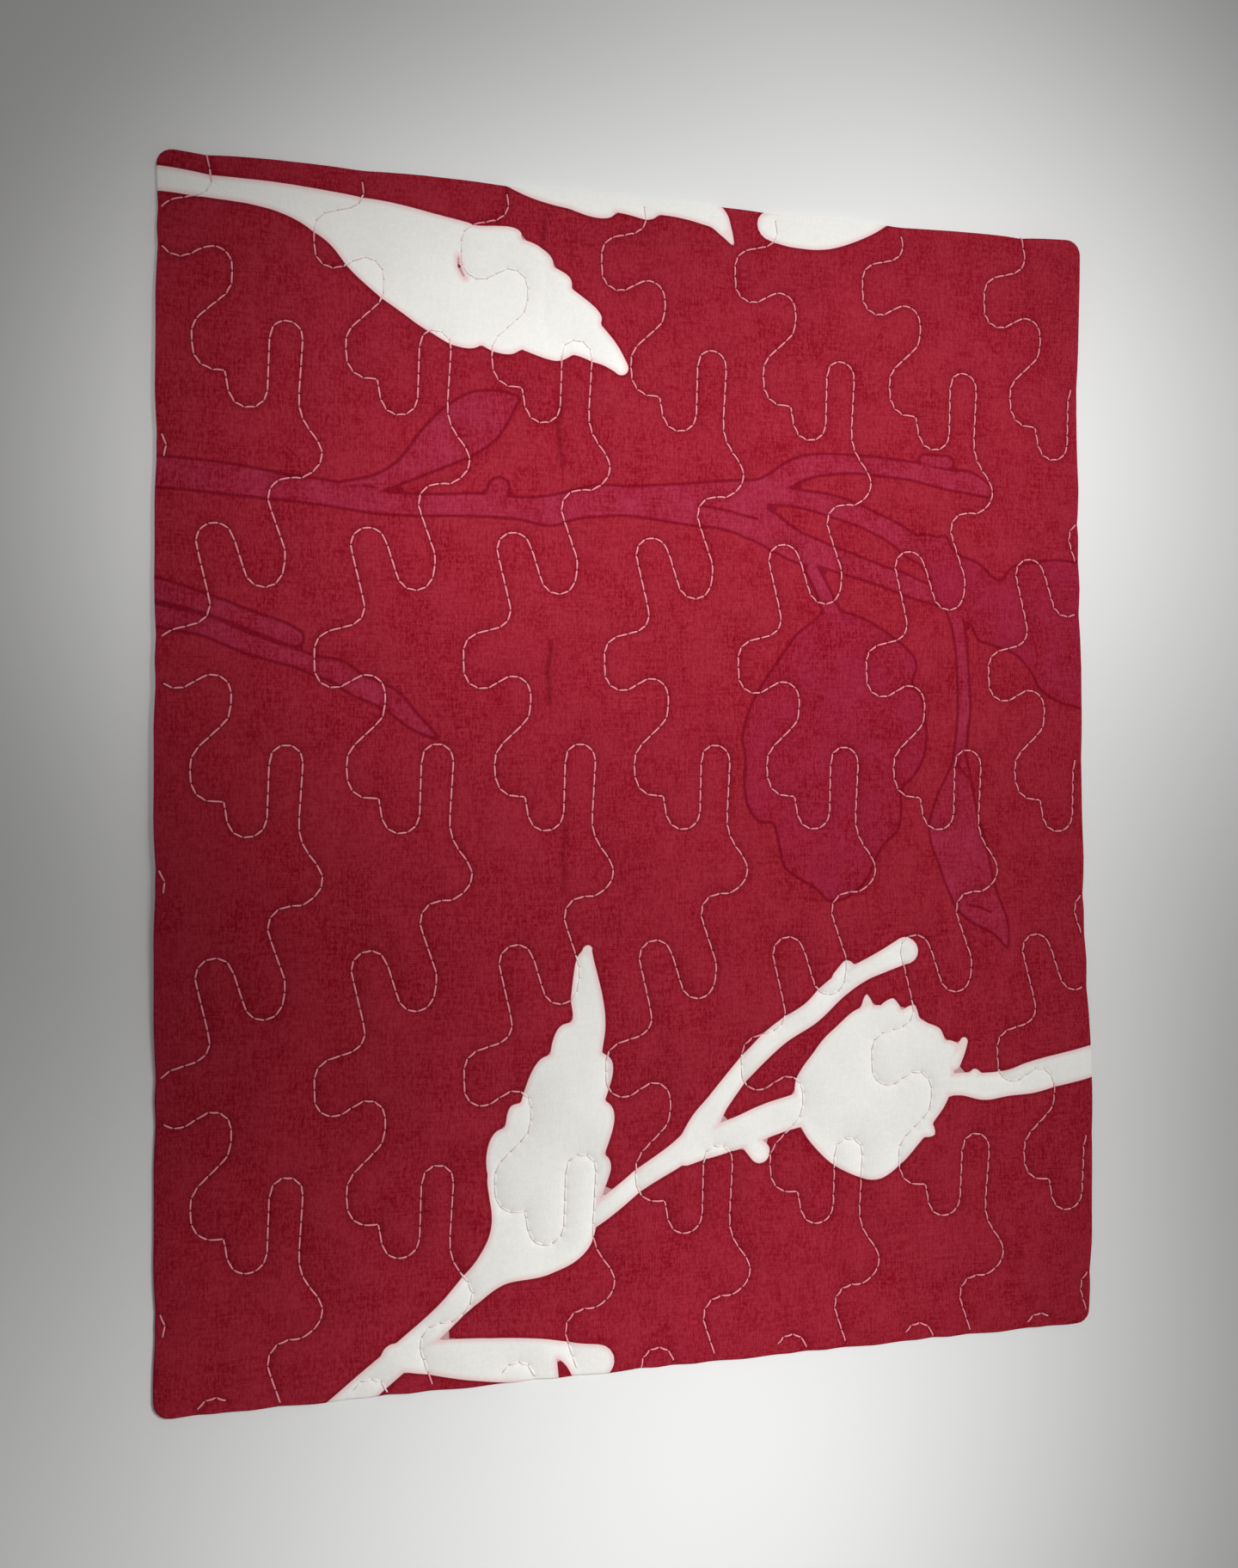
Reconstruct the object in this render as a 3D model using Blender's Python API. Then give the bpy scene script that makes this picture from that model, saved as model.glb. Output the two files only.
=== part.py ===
"""A cut length of red quilted bed cloth, lying in soft folds.

One filled body. Its face stands up in puffs between wandering lines of sewing,
its sides are drawn in, and its underside is flat wherever it rests on something.
X runs across the lanes of quilting, Y along them, Z up. The origin is at the
middle of the cut, on the surface that it lies on.
"""
import math

import bmesh
import bpy
from mathutils import Vector, kdtree
from mathutils.geometry import delaunay_2d_cdt

MM = 0.001

# The cut, across the lanes and along them
CUT_WIDTH = 0.520
CUT_LENGTH = 0.636
CORNER_RADIUS = 0.009

# Thickness: pressed together under the sewing and at the rim, filled between.
# The rim is drawn in a little where the sewing comes near it
SEAM_THICKNESS = 0.0024
PUFF_RISE = 0.0036
PUFF_REACH = 0.0058
RIM_REACH = 0.0085
RIM_PULL = 0.0016
RIM_PULL_REACH = 0.014

# Quilting: one wandering line repeated in lanes that run side by side in step.
# The rows stand highest in the middle of the cut and droop towards its sides
LANE_PITCH = 0.0762
REPEAT_LENGTH = 0.2185
FIRST_BUMP = Vector((-0.1193, 0.0181))
LANE_NUMBERS = range(-2, 7)
REPEAT_NUMBERS = range(-3, 3)
ROW_RISE = 0.0010
ROW_DROOP = 0.0034

# The line's bends over one repeat, in millimetres from the top of its narrow
# bump: centre across and along, radius, and 1 for a left turn or -1 for a right
BENDS = (
    # x, y, radius, turn
    (-0.5, -9.3, 8.3, -1),
    (30.0, -42.0, 24.3, 1),
    (6.8, -69.5, 10.8, -1),
    (6.0, -74.5, 8.0, -1),
    (1.0, -93.0, 10.6, 1),
    (-9.5, -122.5, 8.8, -1),
    (-11.5, -130.0, 9.5, -1),
    (-35.3, -116.0, 9.2, 1),
    (-47.2, -149.0, 9.8, -1),
    (-52.8, -171.0, 10.0, 1),
    (-53.0, -181.0, 9.8, 1),
    (-36.5, -193.0, 9.3, -1),
    (-38.5, -200.5, 11.2, -1),
    (-33.5, -229.5, 13.4, 1),
    (-35.5, -236.5, 11.0, 1),
    (-31.0, -247.8, 0.4, -1),
    (-19.5, -256.2, 9.7, 1),
)

# Soft folds that lift the cloth: middle, half length along its crest and
# direction of the crest, reach to its left and right side, and height
FOLDS = (
    # x, y, half length, crest angle, left reach, right reach, height
    (-0.210, 0.004, 0.210, -4, 0.110, 0.135, 0.0082),
    (-0.285, 0.215, 0.120, 100, 0.060, 0.060, 0.0062),
    (0.250, -0.200, 0.170, 152, 0.085, 0.095, 0.0068),
    (0.262, 0.335, 0.120, 125, 0.070, 0.070, 0.0064),
)
FOLD_FOOT = 0.0012

# Spacing of the points that carry the shape: along the sewing, up the flanks
# on both sides of it, over the puffs between, round the rim and underneath
LINE_SAMPLE = 0.0015
LINE_STEP = 0.0080
FLANK = 0.0052
FLANK_CROWDING = 0.0032
PUFF_STEP = 0.0115
PUFF_CLEARANCE = 0.0096
RIM_STEP = 0.0094
CORNER_STEPS = 3
RIM_CLEARANCE = 0.0048
UNDER_STEP = 0.028

RED = (0.330, 0.017, 0.034, 1.0)


def clear_scene():
    for item in list(bpy.data.objects):
        bpy.data.objects.remove(item, do_unlink=True)


def headings(bends):
    """Direction of the straight run that leads into each bend, and out of the last."""
    runs = []
    for (x1, y1, r1, turn1), (x2, y2, r2, turn2) in zip(bends, bends[1:]):
        bearing = math.atan2(y2 - y1, x2 - x1)
        offset = (turn2 * r2 - turn1 * r1) / math.hypot(x2 - x1, y2 - y1)
        runs.append(bearing - math.asin(offset))
    return runs


def one_repeat():
    """Points of the stitch line over one repeat: arcs joined by straight runs."""
    repeat = REPEAT_LENGTH / MM
    first, last = BENDS[0], BENDS[-1]
    before = (last[0], last[1] + repeat, last[2], last[3])
    after = (first[0], first[1] - repeat, first[2], first[3])
    runs = headings((before, *BENDS, after))
    points = []
    for (x, y, radius, turn), run_in, run_out in zip(BENDS, runs, runs[1:]):
        sweep = (turn * (run_out - run_in)) % math.tau
        steps = 1 + math.ceil(sweep * radius * MM / LINE_SAMPLE)
        for k in range(steps + 1):
            heading = run_in + turn * sweep * k / steps
            across = x + turn * radius * math.sin(heading)
            along = y - turn * radius * math.cos(heading)
            points.append(Vector((across, along)) * MM)
    return points


def spaced(points, step):
    """The same line with its points one even step apart."""
    result = [points[0]]
    left = step
    for start, end in zip(points, points[1:]):
        run = end - start
        at = left
        while at <= run.length:
            result.append(start + run * (at / run.length))
            at += step
        left = at - run.length
    return result


def lane_line(lane):
    """One lane of sewing from end to end of the cut, with the rows' slight droop."""
    unit = one_repeat()
    line = []
    for number in REPEAT_NUMBERS:
        shift = FIRST_BUMP + Vector((lane * LANE_PITCH, -number * REPEAT_LENGTH))
        line += [point + shift for point in unit]
    line = spaced(line, LINE_SAMPLE)
    for point in line:
        point.y += ROW_RISE - ROW_DROOP * (2 * point.x / CUT_WIDTH) ** 2
    return line


def tree_of(lines):
    """Search tree over every point of the sewing."""
    points = [point for line in lines for point in line]
    tree = kdtree.KDTree(len(points))
    for number, point in enumerate(points):
        tree.insert((point.x, point.y, 0.0), number)
    tree.balance()
    return tree


def rim_distance(point):
    """How far a point lies inside the rounded rectangle of the cut."""
    dx = abs(point.x) - CUT_WIDTH / 2 + CORNER_RADIUS
    dy = abs(point.y) - CUT_LENGTH / 2 + CORNER_RADIUS
    outside = math.hypot(max(dx, 0.0), max(dy, 0.0))
    return CORNER_RADIUS - outside - min(max(dx, dy), 0.0)


def rim_points(sewing):
    """The cut's outline, drawn in a little wherever the sewing runs near it."""
    half = Vector((CUT_WIDTH / 2 - CORNER_RADIUS, CUT_LENGTH / 2 - CORNER_RADIUS))
    corners = ((1, 1, 0), (-1, 1, 90), (-1, -1, 180), (1, -1, 270))
    loop = []
    for side_x, side_y, start in corners:
        for k in range(CORNER_STEPS + 1):
            angle = math.radians(start + 90 * k / CORNER_STEPS)
            bend = Vector((math.cos(angle), math.sin(angle))) * CORNER_RADIUS
            loop.append(Vector((side_x * half.x, side_y * half.y)) + bend)
    outline = []
    for start, end in zip(loop, loop[1:] + loop[:1]):
        parts = max(1, round((end - start).length / RIM_STEP))
        outline += [start.lerp(end, k / parts) for k in range(parts)]
    drawn = []
    for point in outline:
        gap = sewing.find((point.x, point.y, 0.0))[2]
        pull = RIM_PULL * math.exp(-gap / RIM_PULL_REACH)
        across = min(max(point.x, -half.x), half.x)
        along = min(max(point.y, -half.y), half.y)
        outward = (point - Vector((across, along))).normalized()
        drawn.append(point - outward * pull)
    return drawn


def fold_height(point):
    """Height of the cloth's underside above the surface it lies on."""
    total = 0.0
    for x, y, half_length, angle, left, right, height in FOLDS:
        crest = math.radians(angle)
        dx, dy = point.x - x, point.y - y
        along = dx * math.cos(crest) + dy * math.sin(crest)
        aside = dy * math.cos(crest) - dx * math.sin(crest)
        reach = left if aside > 0 else right
        total += height * math.exp(-(along / half_length) ** 2 - (aside / reach) ** 2)
    lift = total - FOLD_FOOT
    return max(lift, 0.0)


def face_height(point, sewing):
    """Height of the cloth's face: low at the sewing and the rim, full between."""
    gap = sewing.find((point.x, point.y, 0.0))[2]
    filled = 1 - math.exp(-gap / PUFF_REACH)
    rounded = 1 - math.exp(-max(rim_distance(point), 0.0) / RIM_REACH)
    return fold_height(point) + SEAM_THICKNESS + PUFF_RISE * filled * rounded


def field_points(step, rim_clearance, sewing=None):
    """A triangular field of points inside the rim, clear of it and of the sewing."""
    points = []
    row_height = step * math.sqrt(3) / 2
    rows = math.ceil(CUT_LENGTH / row_height)
    columns = math.ceil(CUT_WIDTH / step)
    for row in range(rows):
        y = (row + 0.5) * row_height - CUT_LENGTH / 2
        for column in range(columns):
            x = (column + 0.25 + 0.5 * (row % 2)) * step - CUT_WIDTH / 2
            point = Vector((x, y))
            if rim_distance(point) < rim_clearance:
                continue
            if sewing and sewing.find((x, y, 0.0))[2] < PUFF_CLEARANCE:
                continue
            points.append(point)
    return points


def sewn_points(lines):
    """Points along the sewing inside the rim, and the edges that join them."""
    points = []
    edges = []
    for line in lines:
        joined = False
        for point in spaced(line, LINE_STEP):
            inside = rim_distance(point) > RIM_CLEARANCE
            if inside:
                points.append(point)
            if inside and joined:
                edges.append((len(points) - 2, len(points) - 1))
            joined = inside
    return points, edges


def flank_points(lines, sewing):
    """Points on both sides of the sewing, left out where bends crowd them."""
    points = []
    for line in lines:
        steps = spaced(line, LINE_STEP)
        for before, after in zip(steps, steps[2:]):
            along = (after - before).normalized()
            for side in (FLANK, -FLANK):
                point = (before + after) / 2 + Vector((-along.y, along.x)) * side
                near_line = sewing.find((point.x, point.y, 0.0))[2] < FLANK_CROWDING
                crowded = any((point - other).length < FLANK_CROWDING for other in points)
                if rim_distance(point) > RIM_CLEARANCE and not near_line and not crowded:
                    points.append(point)
    return points


def add_skin(bm, outline, inner, inner_edges, height):
    """Triangles over the outline through the inner points, each at its height."""
    count = len(outline)
    edges = [(k, (k + 1) % count) for k in range(count)]
    edges += [(a + count, b + count) for a, b in inner_edges]
    inside_only = 1
    skin = delaunay_2d_cdt(outline + inner, edges, [], inside_only, 1e-7)
    verts = [bm.verts.new((point.x, point.y, height(point))) for point in skin[0]]
    faces = [bm.faces.new([verts[k] for k in face]) for face in skin[2]]
    return faces


def make_quilt(collection):
    """The filled body: quilted face, flat-resting underside and a low wall."""
    lines = [lane_line(lane) for lane in LANE_NUMBERS]
    sewing = tree_of(lines)
    outline = rim_points(sewing)
    sewn, sewn_edges = sewn_points(lines)
    inner = sewn + flank_points(lines, sewing) + field_points(PUFF_STEP, PUFF_CLEARANCE, sewing)
    under = field_points(UNDER_STEP, UNDER_STEP / 2)
    bm = bmesh.new()
    add_skin(bm, outline, inner, sewn_edges, lambda point: face_height(point, sewing))
    add_skin(bm, outline, under, [], fold_height)
    rims = [edge for edge in bm.edges if edge.is_boundary]
    bmesh.ops.bridge_loops(bm, edges=rims)
    bmesh.ops.recalc_face_normals(bm, faces=bm.faces)
    mesh = bpy.data.meshes.new("quilt")
    bm.to_mesh(mesh)
    bm.free()
    mesh.shade_smooth()
    mesh.set_sharp_from_angle(angle=math.radians(50))
    quilt = bpy.data.objects.new("quilt", mesh)
    collection.objects.link(quilt)
    return quilt


def red_cotton():
    material = bpy.data.materials.new("red_cotton")
    material.use_nodes = True
    shader = material.node_tree.nodes["Principled BSDF"]
    shader.inputs["Base Color"].default_value = RED
    shader.inputs["Roughness"].default_value = 0.88
    shader.inputs["Metallic"].default_value = 0.0
    return material


def main():
    clear_scene()
    collection = bpy.data.collections.new("quilt")
    bpy.context.scene.collection.children.link(collection)
    quilt = make_quilt(collection)
    quilt.data.materials.append(red_cotton())


main()
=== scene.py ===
"""Looks of a cut length of red quilted cloth, lying in soft low folds.

The cloth is one closed sheet: a printed face that puffs up between wandering lines
of sewing, a rounded rim and a plain back. The sewing thread is a second mesh, one
small bent strand for each stitch. X runs across the lanes, Y along them, Z up.
"""

import math
import random

import bpy
import numpy as np
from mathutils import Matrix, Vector, kdtree, noise
from mathutils.geometry import delaunay_2d_cdt


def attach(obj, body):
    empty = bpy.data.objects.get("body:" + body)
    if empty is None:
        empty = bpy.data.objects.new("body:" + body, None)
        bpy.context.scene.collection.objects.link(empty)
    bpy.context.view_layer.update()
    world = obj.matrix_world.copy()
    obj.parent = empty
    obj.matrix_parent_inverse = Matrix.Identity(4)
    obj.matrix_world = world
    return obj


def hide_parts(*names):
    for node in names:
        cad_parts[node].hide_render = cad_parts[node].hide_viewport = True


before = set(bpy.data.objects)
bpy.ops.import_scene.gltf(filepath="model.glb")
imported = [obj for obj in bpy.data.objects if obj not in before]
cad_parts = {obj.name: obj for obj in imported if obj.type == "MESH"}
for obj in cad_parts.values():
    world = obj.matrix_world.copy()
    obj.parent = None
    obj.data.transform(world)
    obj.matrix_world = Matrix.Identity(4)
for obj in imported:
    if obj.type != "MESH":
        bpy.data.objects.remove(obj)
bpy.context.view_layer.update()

MM = 0.001

# The cut, across the lanes and along them, and its thickness
CUT_WIDTH = 0.520
CUT_LENGTH = 0.636
CORNER_RADIUS = 0.009
RIM_RADIUS = 0.0013
RIM_PULL = 0.0016
RIM_PULL_REACH = 0.014
SEAM_THICKNESS = 0.0024
DENT_RISE = 0.0006
DENT_REACH = 0.0017
PUFF_RISE = 0.0019
PUFF_REACH = 0.0130
RIM_REACH = 0.0085

# Quilting: one wandering line repeated in lanes that run side by side in step.
# The rows stand highest in the middle of the cut and droop towards its sides
LANE_PITCH = 0.0762
REPEAT_LENGTH = 0.2185
FIRST_BUMP = Vector((-0.1193, 0.0181))
LANE_NUMBERS = range(-2, 7)
REPEAT_NUMBERS = range(-3, 3)
ROW_RISE = 0.0010
ROW_DROOP = 0.0034

# The line's bends over one repeat, in millimetres from the top of its narrow
# bump: centre across and along, radius, and 1 for a left turn or -1 for a right
BENDS = (
    # x, y, radius, turn
    (-0.5, -9.3, 8.3, -1),
    (30.0, -42.0, 24.3, 1),
    (6.8, -69.5, 10.8, -1),
    (6.0, -74.5, 8.0, -1),
    (1.0, -93.0, 10.6, 1),
    (-9.5, -122.5, 8.8, -1),
    (-11.5, -130.0, 9.5, -1),
    (-35.3, -116.0, 9.2, 1),
    (-47.2, -149.0, 9.8, -1),
    (-52.8, -171.0, 10.0, 1),
    (-53.0, -181.0, 9.8, 1),
    (-36.5, -193.0, 9.3, -1),
    (-38.5, -200.5, 11.2, -1),
    (-33.5, -229.5, 13.4, 1),
    (-35.5, -236.5, 11.0, 1),
    (-31.0, -247.8, 0.4, -1),
    (-19.5, -256.2, 9.7, 1),
)
LINE_SAMPLE = 0.0005

# Soft folds that lift the cloth: middle, half length along its crest and
# direction of the crest, reach to its left and right side, and height
FOLDS = (
    # x, y, half length, crest angle, left reach, right reach, height
    (-0.210, 0.004, 0.210, -4, 0.110, 0.135, 0.0082),
    (-0.285, 0.215, 0.120, 100, 0.060, 0.060, 0.0062),
    (0.250, -0.200, 0.170, 152, 0.085, 0.095, 0.0068),
    (0.262, 0.335, 0.120, 125, 0.070, 0.070, 0.0064),
)
FOLD_FOOT = 0.0012

# Stitches: length on a straight run, how much bends shorten them, and how near
# the rim they come. Windows count samples of the line, and a corner is sharp
# above a turn in radians
STITCH = 0.0069
STITCH_CROWDING = 0.0026
STITCH_CLEARANCE = 0.6 * STITCH
BEND_WINDOW = 6
CORNER_WINDOW = 2
CORNER_TURN = 0.5
SHORT_STITCH = 0.0028

# Thread: where its strand has rings along a stitch, the length of its twist, and
# how far it stands up, dives, narrows and sinks its tips, as shares of its radius
THREAD_RADIUS = 0.00047
THREAD_SIDES = 6
THREAD_RINGS = (0.04, 0.12, 0.35, 0.65, 0.88, 0.96)
THREAD_TWIST = 0.0011
THREAD_ARCH = 0.75
THREAD_DIVE = 2.0
THREAD_TAPER = 0.3
THREAD_SINK = 1.6

# What the needle and thread do to the cloth: holes, and puckers that are
# stronger at some stitches than at others
HOLE_DEPTH = 0.0004
HOLE_REACH = 0.0008
PUCKER = 0.00016
PUCKER_REACH = 0.0055
PUCKER_STRENGTH = (0.2, 1.0)
PUCKER_SEED = 5

# Uneven filling: how much it changes the puffs, in lumps of two sizes
LUMP_SHARE = 0.35
LUMPS = (
    # size across, share, seed
    (0.024, 1.0, 3.0),
    (0.009, 0.5, 8.0),
)

# Pressed creases in the cloth, as soft troughs: ends, half width and depth
CREASES = (
    # x1, y1, x2, y2, half width, depth, in millimetres
    (-62, 310, -61, 232, 1.8, 0.55),
    (-54, 212, -53, 158, 2.0, 0.60),
    (-60, 80, -61, 30, 1.8, 0.65),
    (-53, -18, -53, -70, 2.4, 0.50),
    (-58, 287, 48, 298, 1.6, 0.35),
    (-23, -164, 20, -167, 1.8, 0.35),
)
CREASE_DEEP = 0.0006
CREASE_FADE = 0.012
CREASE_WANDER = 0.0006
CREASE_WAVES = (
    # radians for each metre, start, share
    (180, 0, 1.0),
    (430, 1, 0.6),
)

# Spacing of the points that carry the cloth's face, its rim and its back
STITCH_PARTS = 4
FLANK_ROWS = (0.0008, -0.0008, 0.0020, -0.0020, 0.0038, -0.0038)
FLANK_CROWDING = 0.8
CREASE_ROWS = (0.0, 0.0016, -0.0016)
PRINT_ROWS = (0.0, 0.0012)
VEIN_ROWS = (0.0, 0.0012, -0.0012)
PRINT_STEP = 0.0015
PRINT_GAP = 0.7 * PRINT_STEP
POINT_GAP = 0.0006
FILL_STEP = 0.0034
FILL_GAP = 0.0019
FILL_CLEARANCE = 2 * RIM_RADIUS + 0.4 * FILL_STEP
RIM_STEP = 0.0026
RIM_ROWS = 7
RIM_CLEARANCE = 2.4 * RIM_RADIUS
BACK_STEP = 0.0085
BACK_CLEARANCE = 0.6 * BACK_STEP
WELD = 1e-8
TINY = 1e-9


# Sewing: the wandering line, its stitches and where they lie

def headings(bends):
    """Direction of the straight run that leads into each bend, and out of the last."""
    runs = []
    for (x1, y1, r1, turn1), (x2, y2, r2, turn2) in zip(bends, bends[1:]):
        bearing = math.atan2(y2 - y1, x2 - x1)
        offset = (turn2 * r2 - turn1 * r1) / math.hypot(x2 - x1, y2 - y1)
        runs.append(bearing - math.asin(offset))
    return runs


def one_repeat():
    """Points of the stitch line over one repeat: arcs joined by straight runs."""
    repeat = REPEAT_LENGTH / MM
    first, last = BENDS[0], BENDS[-1]
    before = (last[0], last[1] + repeat, last[2], last[3])
    after = (first[0], first[1] - repeat, first[2], first[3])
    runs = headings((before, *BENDS, after))
    points = []
    for (x, y, radius, turn), run_in, run_out in zip(BENDS, runs, runs[1:]):
        sweep = (turn * (run_out - run_in)) % math.tau
        steps = 1 + math.ceil(sweep * radius * MM / LINE_SAMPLE)
        for k in range(steps + 1):
            heading = run_in + turn * sweep * k / steps
            across = x + turn * radius * math.sin(heading)
            along = y - turn * radius * math.cos(heading)
            points.append(Vector((across, along)) * MM)
    return points


def spaced(points, step):
    """The same line with its points one even step apart."""
    result = [points[0]]
    left = step
    for start, end in zip(points, points[1:]):
        run = end - start
        at = left
        while at <= run.length:
            result.append(start + run * (at / run.length))
            at += step
        left = at - run.length
    return result


def lane_line(lane):
    """One lane of sewing from end to end of the cut, with the rows' slight droop."""
    unit = one_repeat()
    line = []
    for number in REPEAT_NUMBERS:
        shift = FIRST_BUMP + Vector((lane * LANE_PITCH, -number * REPEAT_LENGTH))
        line += [point + shift for point in unit]
    line = spaced(line, LINE_SAMPLE)
    for point in line:
        point.y += ROW_RISE - ROW_DROOP * (2 * point.x / CUT_WIDTH) ** 2
    return line


def turns(line, window):
    """How far a line turns at each of its points, measured over a window either side."""
    middle = range(window, len(line) - window)
    inside = [(line[k] - line[k - window]).angle(line[k + window] - line[k]) for k in middle]
    return [0.0] * window + inside + [0.0] * window


def needle_holes(line):
    """Where the needle went through: closer in bends, and always at a sharp corner."""
    bends = turns(line, BEND_WINDOW)
    corners = turns(line, CORNER_WINDOW)
    holes = []
    wanted = since_last = 0.0
    for k in range(BEND_WINDOW, len(line) - BEND_WINDOW):
        since_last += LINE_SAMPLE
        nearby = corners[k - BEND_WINDOW:k + BEND_WINDOW + 1]
        corner = corners[k] > CORNER_TURN and corners[k] == max(nearby)
        if since_last < wanted and not corner:
            continue
        if corner and since_last < SHORT_STITCH and holes:
            holes.pop()
        holes.append(line[k])
        curvature = bends[k] / (BEND_WINDOW * LINE_SAMPLE)
        wanted = STITCH / (1 + STITCH_CROWDING * curvature)
        since_last = 0.0
    return holes


def rim_distance(x, y):
    """How far a point lies inside the rounded rectangle of the cut."""
    dx = np.abs(x) - CUT_WIDTH / 2 + CORNER_RADIUS
    dy = np.abs(y) - CUT_LENGTH / 2 + CORNER_RADIUS
    outside = np.hypot(np.maximum(dx, 0.0), np.maximum(dy, 0.0))
    return CORNER_RADIUS - outside - np.minimum(np.maximum(dx, dy), 0.0)


def make_stitches():
    """Every stitch on the cut, as the pair of needle holes that it joins."""
    stitches = []
    for lane in LANE_NUMBERS:
        holes = needle_holes(lane_line(lane))
        for start, end in zip(holes, holes[1:]):
            middle = (start + end) / 2
            if rim_distance(middle.x, middle.y) > STITCH_CLEARANCE:
                stitches.append((start, end))
    return stitches


def tree_of(points):
    """A search tree over flat points, which finds the nearest one."""
    tree = kdtree.KDTree(len(points))
    for number, (x, y) in enumerate(points):
        tree.insert((x, y, 0.0), number)
    tree.balance()
    return tree


def distances(tree, points):
    """Distance from each point to the tree, and the number of the nearest entry."""
    found = [tree.find((x, y, 0.0)) for x, y in points]
    return np.array([hit[2] for hit in found]), np.array([hit[1] for hit in found])


# Print: the motifs of both prints, as short tables in millimetres

# Ribbons: a centre line with the half width to its left and right, in
# millimetres. Leaves run from tip to stalk and may carry lobes on either side
TOP_LEAF = (
    # x, y, left, right
    (-19.5, 223, 4.4, 4.4),
    (-27, 231.5, 9.4, 6.4),
    (-41, 243, 17.5, 9.5),
    (-60, 253, 27.5, 18),
    (-80, 263, 37, 25),
    (-103, 273, 43, 21.5),
    (-125, 281, 40, 16.5),
    (-150, 288, 31, 13.5),
    (-174, 294, 16, 9.5),
    (-200, 298, 8, 7),
    (-235, 300, 6, 6),
    (-275, 302, 7, 7),
)
TOP_LEAF_LOBES = (
    # start, end, rise: first those on the left, then those on the right
    ((25, 53, 5), (53, 74, 4), (74, 102, 3.5)),
    ((23, 44, 4), (44, 58, 3.5), (58, 78, 2.8), (78, 100, 4.5)),
)
LOW_LEAF = (
    (-40, -92, 2.3, 2.7),
    (-40.5, -99, 4.2, 6),
    (-40.5, -117, 8.5, 8.4),
    (-42, -131, 11.8, 6.8),
    (-46, -147, 14.2, 13),
    (-51, -164, 21, 18.5),
    (-56, -181, 26, 23),
    (-61, -199, 30.5, 29.5),
    (-65, -217, 31.5, 30),
    (-71, -232, 36, 24.5),
    (-80, -245.5, 25.5, 15.5),
    (-91, -257.5, 10, 10.8),
    (-104, -269, 6.8, 8.6),
    (-120, -283, 6.2, 7.3),
    (-146, -303, 7.5, 7.5),
    (-172, -324, 8, 8),
)
LOW_LEAF_LOBES = (
    ((52, 76, 6.5), (76, 104, 5.5), (104, 134, 4)),
    ((40, 59, 5), (60, 87, 3.6), (88, 101, 4), (102, 126, 3.5)),
)
TOP_EDGE_LEAF = (
    (45, 297, 0.9, 0.9),
    (40.5, 304, 4.2, 4.2),
    (33, 312.5, 8, 8),
    (14, 319, 10.5, 12),
    (-12, 322, 13, 16),
    (-38, 323, 16.5, 18),
    (-66, 326, 15, 16),
    (-95, 332, 8, 10),
)
TOP_EDGE_LEAF_LOBES = (((51, 76, 3.2), (76, 101, 3.2)), ())
GHOST_LEAF = (
    (-77.5, 201.5, 2.5, 2.5),
    (-84, 198.5, 8, 8),
    (-95, 192, 14.2, 13.2),
    (-107, 183.5, 15, 13.8),
    (-119, 174, 12, 11.5),
    (-129, 166, 8.5, 8),
    (-139, 159.5, 6.5, 4.5),
    (-152, 153.5, 6, 3),
    (-172, 148.5, 5, 3),
)
LOW_GHOST_LEAF = (
    (207, -97, 0.8, 0.8),
    (202, -85, 6.5, 6),
    (191, -71, 13.5, 12.5),
    (186, -60, 15.5, 14),
    (181, -45, 16.5, 16),
    (176.5, -30, 16.5, 16.5),
    (177, -14, 13, 12.5),
    (179, 0, 8, 7.5),
    (180, 12, 3.8, 3.8),
)

# Stems, twigs and knots: a centre line and one half width
WHITE_STEMS = (
    ((-46, -240, 5), (-33, -231, 5.5), (-11, -215.5, 5.6), (10, -203, 6.6), (24, -193, 8)),
    ((13, -203, 6), (24, -188.5, 8), (33, -176, 6.2), (49, -158, 5.7), (67, -142, 6),
     (86, -130.5, 6.2), (102, -117, 6.4), (117, -108.5, 5.4), (131, -102.5, 6.2), (143.5, -97.5, 7.6)),
    ((14, -204, 6), (30, -198, 8.2), (46, -193.5, 9), (62, -188, 9.3), (82, -183, 9.5)),
    ((104, -112, 5), (108.5, -106.5, 4.4)),
    ((48, -196, 5), (56.5, -205.5, 6)),
    ((160, -174, 6), (176, -173.5, 6.4), (190, -175.5, 7.6), (204, -174.5, 7.2),
     (219, -172, 8.8), (240, -168, 9), (275, -162, 9)),
    ((181, -172, 3), (184, -168.5, 3.2)),
    ((171, -161, 4.5), (175, -155, 3.2), (177.5, -149.5, 2.4)),
    ((-142, -297, 7), (-122, -299.5, 9), (-100, -302.5, 11), (-70, -306.5, 12),
     (-50, -309.5, 10.6), (-36, -310.6, 9.8)),
    ((68, 309.5, 8.5), (82, 309, 11), (100, 311, 12), (122, 318, 10), (140, 328, 8)),
)
WHITE_CUTS = (
    ((-107.5, 276, 0.5), (-107, 270, 0.9), (-104, 264.5, 0.5)),
    ((-50, -326, 5), (-54, -313, 2.8), (-57, -306.5, 0.5)),
)
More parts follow.
